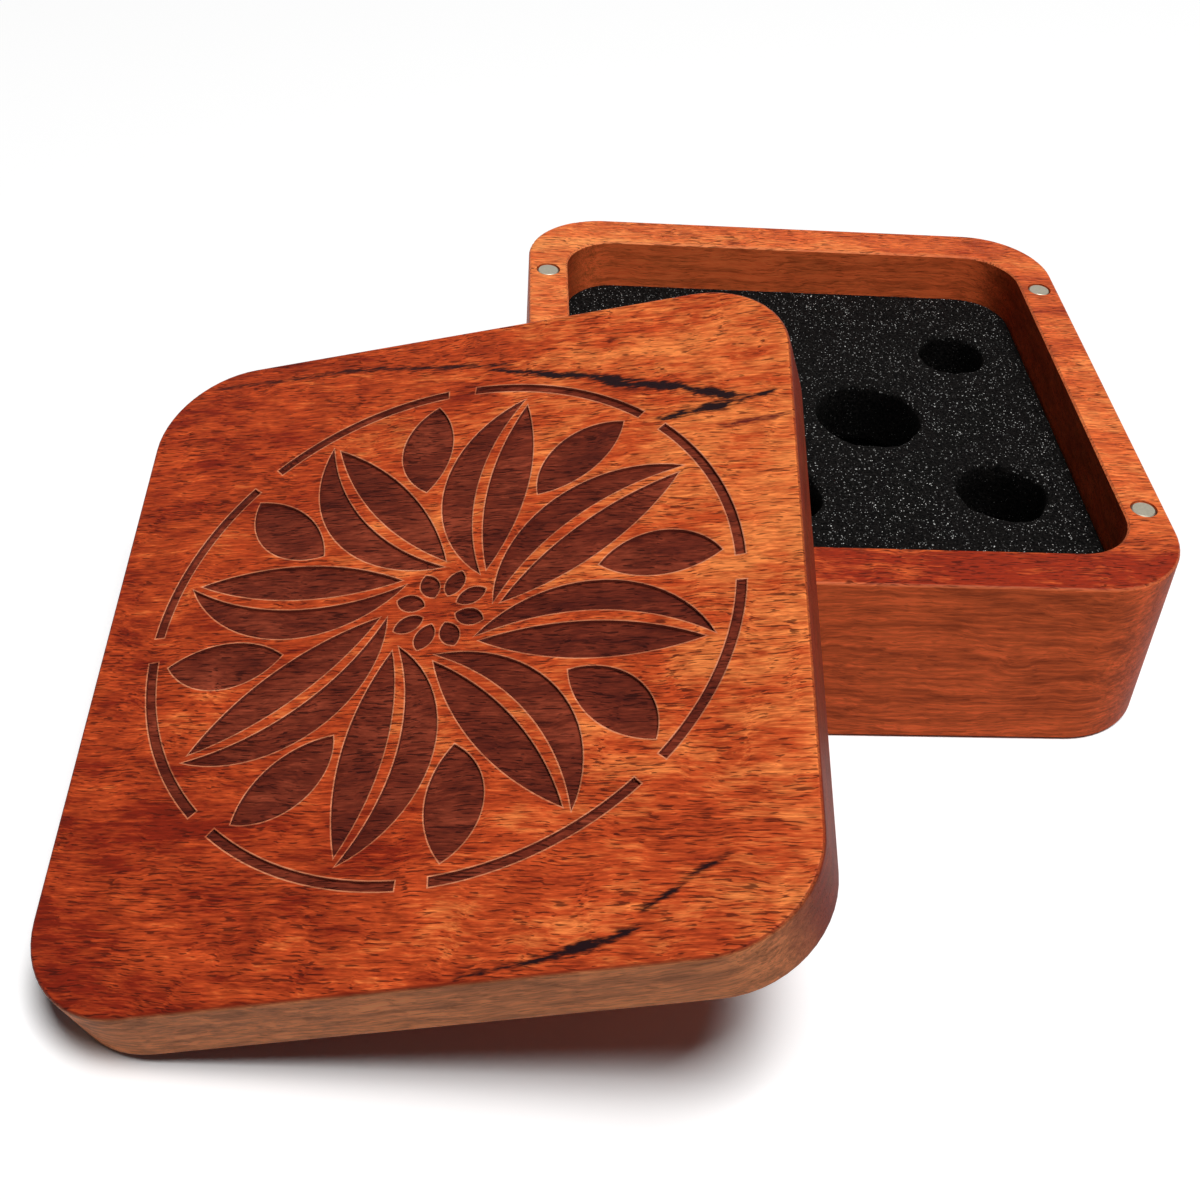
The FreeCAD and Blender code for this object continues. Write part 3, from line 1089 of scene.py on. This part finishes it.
# ---------- the foam
@dataclass
class FoamSheet:
    """A sheet of open-cell foam with soft edges, which may have holes cut through it."""

    node: str
    body: str = "box"
    corner_radius: float = 11.3 * MM
    corner_steps: int = 12
    soft_edge: float = 1.1 * MM
    foot_share: float = 0.4
    hole_steps: int = 48
    wall_steps: int = 5
    ripple: float = 0.35 * MM
    wall_ripple: float = 1.6
    waves: tuple[tuple[float, float], ...] = ((6 * MM, 1.2), (2.2 * MM, 0.5))
    point_pitch: float = 1.6 * MM
    holes: list[tuple[Point, float]] = field(default_factory=list)

    def make(self, skin_finish: bpy.types.Material) -> bpy.types.Object:
        """Builds the sheet in the space of its solid.

        Args:
            skin_finish: The foam's material.

        Returns:
            The piece.
        """
        low, high = map(Vector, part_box(self.node))
        size = high - low
        skin = Skin()
        foot = reversed(eased(self.soft_edge * self.foot_share, 3))
        levels = [(inset, low.z + drop) for inset, drop in foot]
        levels += [(inset, high.z - drop) for inset, drop in eased(self.soft_edge)]
        rings = []
        for inset, height in levels:
            sides = size.x - 2 * inset, size.y - 2 * inset
            outline = rounded_outline(*sides, self.corner_radius - inset, self.corner_steps)
            rings.append(skin.ring(outline, height))
        skin.stack(rings)
        tops, bottoms = [], []
        for centre, radius in self.holes:
            top, bottom = self._hole(skin, centre, radius, (low.z, high.z))
            tops.append(top)
            bottoms.append(bottom)
        skin.fill(rings[-1], tops, extra=self._spread(size))
        skin.fill(rings[0], bottoms, up=False)
        self._roughen(skin, low, high)
        piece = skin.build(f"{self.node}_soft", [skin_finish])
        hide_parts(self.node)
        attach(piece, self.body)
        return piece

    def _hole(
        self, skin: Skin, centre: Point, radius: float, span: tuple[float, float]
    ) -> tuple[list[int], list[int]]:
        """The wall of one hole, with a soft lip at its top.

        Args:
            skin: The mesh.
            centre: The hole's middle.
            radius: Its radius.
            span: The heights of the sheet's underside and top.

        Returns:
            The ring at the top and the ring at the underside.
        """
        low, high = span
        lip = high - self.soft_edge
        levels = [(inset, high - drop) for inset, drop in reversed(eased(self.soft_edge, 4))]
        for step in range(1, self.wall_steps + 1):
            levels.append((0.0, lip - (lip - low) * step / self.wall_steps))
        rings = []
        for inset, height in levels:
            rings.append(skin.ring(circle(centre, radius + inset, self.hole_steps), height))
        skin.stack(rings)
        return rings[0], rings[-1]

    def _spread(self, size: Vector) -> list[Point]:
        """Points over the top face, clear of its outline and its holes.

        Args:
            size: The sheet's size.

        Returns:
            The points.
        """
        keep = 3 * self.point_pitch
        spread = []
        for column in range(1, int(size.x / self.point_pitch)):
            for row in range(1, int(size.y / self.point_pitch)):
                x = column * self.point_pitch - size.x / 2
                y = row * self.point_pitch - size.y / 2
                past_x = max(abs(x) - size.x / 2 + self.corner_radius, 0)
                past_y = max(abs(y) - size.y / 2 + self.corner_radius, 0)
                gaps = [math.dist((x, y), centre) - radius for centre, radius in self.holes]
                gaps.append(self.corner_radius - math.hypot(past_x, past_y))
                if min(gaps) >= keep:
                    spread.append((x, y))
        return spread

    def _roughen(self, skin: Skin, low: Vector, high: Vector) -> None:
        """Sinks the top a little and makes the holes' walls uneven, as cut cells are.

        Args:
            skin: The mesh.
            low: The sheet's lowest corner.
            high: Its highest corner.
        """
        for point in skin.points:
            wave = sum(noise.noise(point / length) * height for length, height in self.waves)
            if point.z > high.z - self.soft_edge:
                point.z -= self.ripple * (0.5 + 0.5 * wave)
            for (x, y), radius in self.holes:
                gap = math.dist((x, y), point[:2])
                if gap < radius + self.soft_edge * 1.2 and point.z > low.z + MM:
                    push = 1 + (self.ripple * self.wall_ripple * wave) / max(gap, MM)
                    point.x, point.y = x + (point.x - x) * push, y + (point.y - y) * push


def die_holes() -> list[tuple[Point, float]]:
    """The foam's holes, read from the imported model.

    Returns:
        Their middles and radii.
    """
    cut = frame["nodes"]["foam_insert"].data.vertices
    found = []
    for opening in frame["record"]["physics"]["openings"]:
        if opening["name"].startswith("die_hole"):
            low, high = opening["box_m"]
            centre = ((low[0] + high[0]) / 2, (low[1] + high[1]) / 2)
            radius = min(math.dist(vertex.co[:2], centre) for vertex in cut)
            found.append((centre, radius))
    return found


# ---------- light and view
@dataclass
class Viewpoint:
    """The camera, given by where it stands and how far it is turned, in degrees."""

    stand: tuple[float, float, float] = (-66.43 * MM, -288.95 * MM, 218.75 * MM)
    heading: float = 6.847
    pitch: float = 38.205
    roll: float = 5.707
    sensor: float = 36.0
    lens: float = 50.36
    shift: tuple[float, float] = (-0.0421, -0.0367)
    nearest: float = 10 * MM

    def place(self) -> None:
        """Sets up the scene's camera."""
        camera = bpy.data.cameras.new("viewpoint")
        camera.sensor_width = self.sensor
        camera.lens = self.lens
        camera.shift_x, camera.shift_y = self.shift
        camera.clip_start = self.nearest
        stand = bpy.data.objects.new("viewpoint", camera)
        bpy.context.scene.collection.objects.link(stand)
        yaw, pitch, roll = map(math.radians, (self.heading, self.pitch, self.roll))
        flat = math.cos(pitch)
        ahead = Vector((math.sin(yaw) * flat, math.cos(yaw) * flat, -math.sin(pitch)))
        level = Vector((math.cos(yaw), -math.sin(yaw), 0))
        upright = level.cross(ahead)
        right = math.cos(roll) * level + math.sin(roll) * upright
        up = math.cos(roll) * upright - math.sin(roll) * level
        turn = Matrix((right, up, -ahead)).transposed().to_4x4()
        stand.matrix_world = Matrix.Translation(self.stand) @ turn
        bpy.context.scene.camera = stand


@dataclass
class Lamp:
    """A square soft box."""

    name: str
    stand: tuple[float, float, float]
    side: float
    power: float
    aim: tuple[float, float, float] = (-0.02, -0.02, 0.02)

    def place(self) -> None:
        """Hangs the lamp and turns it to its aim."""
        light = bpy.data.lights.new(self.name, "AREA")
        light.shape = "SQUARE"
        light.size = self.side
        light.energy = self.power
        lamp = bpy.data.objects.new(self.name, light)
        bpy.context.scene.collection.objects.link(lamp)
        lamp.location = self.stand
        ray = Vector(self.aim) - Vector(self.stand)
        lamp.rotation_euler = ray.to_track_quat("-Z", "Y").to_euler()


@dataclass
class Studio:
    """A white table, a pale room and a soft lamp."""

    ambient: float = 0.03
    table_half: float = 12.0
    white_from: float = 0.4
    table_colour: float = 0.4
    table_seen: float = 1.09
    lamp: Lamp = field(default_factory=lambda: Lamp("overhead", (0.4, -0.72, 3.3), 1.3, 116.0))

    def place(self) -> None:
        """Lays the table, lights the room and hangs the lamp."""
        self._table()
        self._room()
        self.lamp.place()
        bpy.context.scene.view_settings.view_transform = "Standard"

    @staticmethod
    def _seen(shader: Shader) -> Sig:
        """Tells the rays that show the surround from those that light the part.

        Args:
            shader: The tree.

        Returns:
            1 on straight, glossy and transmitted rays.
        """
        rays = shader.node("ShaderNodeLightPath").socket.node.outputs
        seen = Sig(shader, rays["Is Camera Ray"]).most(Sig(shader, rays["Is Glossy Ray"]))
        return seen.most(Sig(shader, rays["Is Transmission Ray"]))

    def _table(self) -> None:
        """A wide sheet under everything that looks white and fades to pure white far off."""
        half = self.table_half
        skin = Skin()
        skin.fill(skin.ring([(-half, -half), (half, -half), (half, half), (-half, half)], 0.0))
        shader = Finish("white_table", Roughness=1.0, Specular_IOR_Level=0.0)
        plain, bright = (self.table_colour,) * 3, (self.table_seen,) * 3
        seen = self._seen(shader)
        shader.vary("Base Color", shader.mix(seen, plain, bright))
        inputs = {0: shader.place_mm()}
        reach = shader.node("ShaderNodeVectorMath", {"operation": "LENGTH"}, inputs, "Value")
        far = reach.ease(self.white_from / MM, 2 * self.white_from / MM) * seen
        cloth = Sig(shader, shader.surface.outputs[0])
        white = shader.node("ShaderNodeEmission", inputs={"Color": (1.0, 1.0, 1.0)})
        laid = shader.node("ShaderNodeMixShader", inputs={0: far, 1: cloth, 2: white})
        shader.feed(shader.tree.nodes["Material Output"].inputs["Surface"], laid)
        table = skin.build("table", [shader.material])

    def _room(self) -> None:
        """White where it is seen, and a lower even light on everything else."""
        world = bpy.data.worlds.new("room")
        world.use_nodes = True
        bpy.context.scene.world = world
        shader = Shader(world.node_tree)
        background = shader.tree.nodes["Background"]
        shader.feed(background.inputs["Color"], (1.0, 1.0, 1.0))
        strength = self._seen(shader) * (1 - self.ambient) + self.ambient
        shader.feed(background.inputs["Strength"], strength)


# ---------- build
BOX_BANDS = (
    Band(-61.0, 6.0, -0.115),
    Band(-20.0, 30.0, 0.05),
    # Painted light: a paler stripe over the pocket's back wall and the back rim, standing in for
    # light from the front.
    Band(53.0, 3.5, 0.06, 0.1),
)
BOX_WOOD = Wood(
    "box_wood",
    dark=srgb(150, 44, 20),
    middle=srgb(222, 102, 50),
    light=srgb(250, 152, 84),
    side=srgb(222, 100, 53),
    end=srgb(184, 74, 39),
    # painted highlight on the box's rounded edges
    edge=srgb(232, 138, 92),
    edge_share=0.32,
    contrast=0.6,
    tone_per_mm=(-0.0007, 0.0),
    bands=BOX_BANDS,
)
LID_GRAIN = {"lean": -7.0, "seed_mm": (310.0, 120.0, 40.0)}
LID_STREAKS = (
    Streak((-50.0, 62.0), (-20.0, 60.5), 0.5, 0.8, srgb(70, 22, 14)),
    Streak((-24.0, 61.0), (9.0, 55.0), 0.55, 0.8, srgb(48, 14, 12)),
    Streak((5.0, 54.5), (34.0, 45.5), 1.0, 1.2),
    Streak((26.0, 47.5), (52.0, 37.5), 1.5, 2.2),
    Streak((36.0, 35.2), (57.0, 37.6), 1.25, 1.0),
    Streak((47.0, 31.5), (59.0, 31.6), 0.6, 0.6, srgb(96, 28, 22)),
    Streak((8.0, -65.0), (27.0, -63.0), 0.4, 0.5),
    Streak((16.0, -64.6), (34.0, -60.5), 1.1, 0.8),
    Streak((34.0, -58.0), (40.0, -54.6), 0.9, 0.4),
    Streak((40.5, -53.4), (47.0, -50.6), 0.9, 0.6),
)
LID_WOOD = Wood(
    "lid_wood",
    dark=srgb(128, 34, 16),
    middle=srgb(194, 75, 34),
    light=srgb(238, 132, 68),
    # Painted light: the lid's upright faces are painted paler than its top, standing in for light
    # bounced up from the table.
    side=srgb(230, 143, 92),
    end=srgb(106, 30, 17),
    # painted shade on the lid's eased edges
    edge=srgb(110, 30, 16),
    side_share=0.92,
    contrast=0.72,
    # Painted light: the lid is painted brighter towards its right and its back, as its light falls.
    tone_per_mm=(0.0011, 0.0002),
    bands=(Band(60.0, 16.0, -0.02), Band(-48.0, 16.0, -0.025)),
    streaks=LID_STREAKS,
    **LID_GRAIN,
)


def engraved(name: str, figure: Sequence[Colour], side: Colour, **rest: Any) -> Wood:
    """The lid's wood in the engraving, with its figure from dark to light and one side colour."""
    return Wood(name, *figure, side, side, side, **LID_GRAIN, **rest)


ENGRAVED_WOOD = engraved(
    "engraved_wood",
    (srgb(76, 24, 16), srgb(106, 40, 25), srgb(140, 60, 39)),
    srgb(74, 24, 16),
    pore=srgb(34, 8, 8),
    roughness=0.6,
)
# Painted highlight: a pale band round each motif on the flat top face, standing in for light on the
# edge of the cut.
CUT_EDGE_HIGHLIGHT = engraved(
    "cut_line",
    (srgb(176, 84, 52), srgb(212, 126, 88), srgb(232, 152, 112)),
    srgb(212, 126, 88),
    pore_share=0.3,
)


@dataclass
class Solids:
    """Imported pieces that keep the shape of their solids."""

    nodes: tuple[str, ...]

    def dress(self, finish: Wood | Nickel) -> None:
        """Gives every piece a finish.

        Args:
            finish: The finish.
        """
        material = finish.material()
        for node in self.nodes:
            for slot in frame["nodes"][node].material_slots:
                slot.material = material
            log.info("%s: %s", node, finish.name)


def main() -> None:
    """Builds and places every piece."""
    logging.basicConfig(level=logging.INFO, format="%(name)s: %(message)s")
    Viewpoint().place()
    Studio().place()
    log.info("camera and light are set")
    Solids(("box_body",)).dress(BOX_WOOD)
    lid = Lid().make(LID_WOOD, ENGRAVED_WOOD, CUT_EDGE_HIGHLIGHT)
    log.info("%s: %d faces", lid.name, len(lid.data.polygons))
    foam = FoamSkin().material()
    for sheet in (FoamSheet("foam_insert", holes=die_holes()), FoamSheet("foam_base")):
        piece = sheet.make(foam)
        log.info("%s: %d faces", piece.name, len(piece.data.polygons))
    Solids(tuple(node for node in frame["nodes"] if "magnet" in node)).dress(Nickel())


if __name__ == "__main__":
    main()
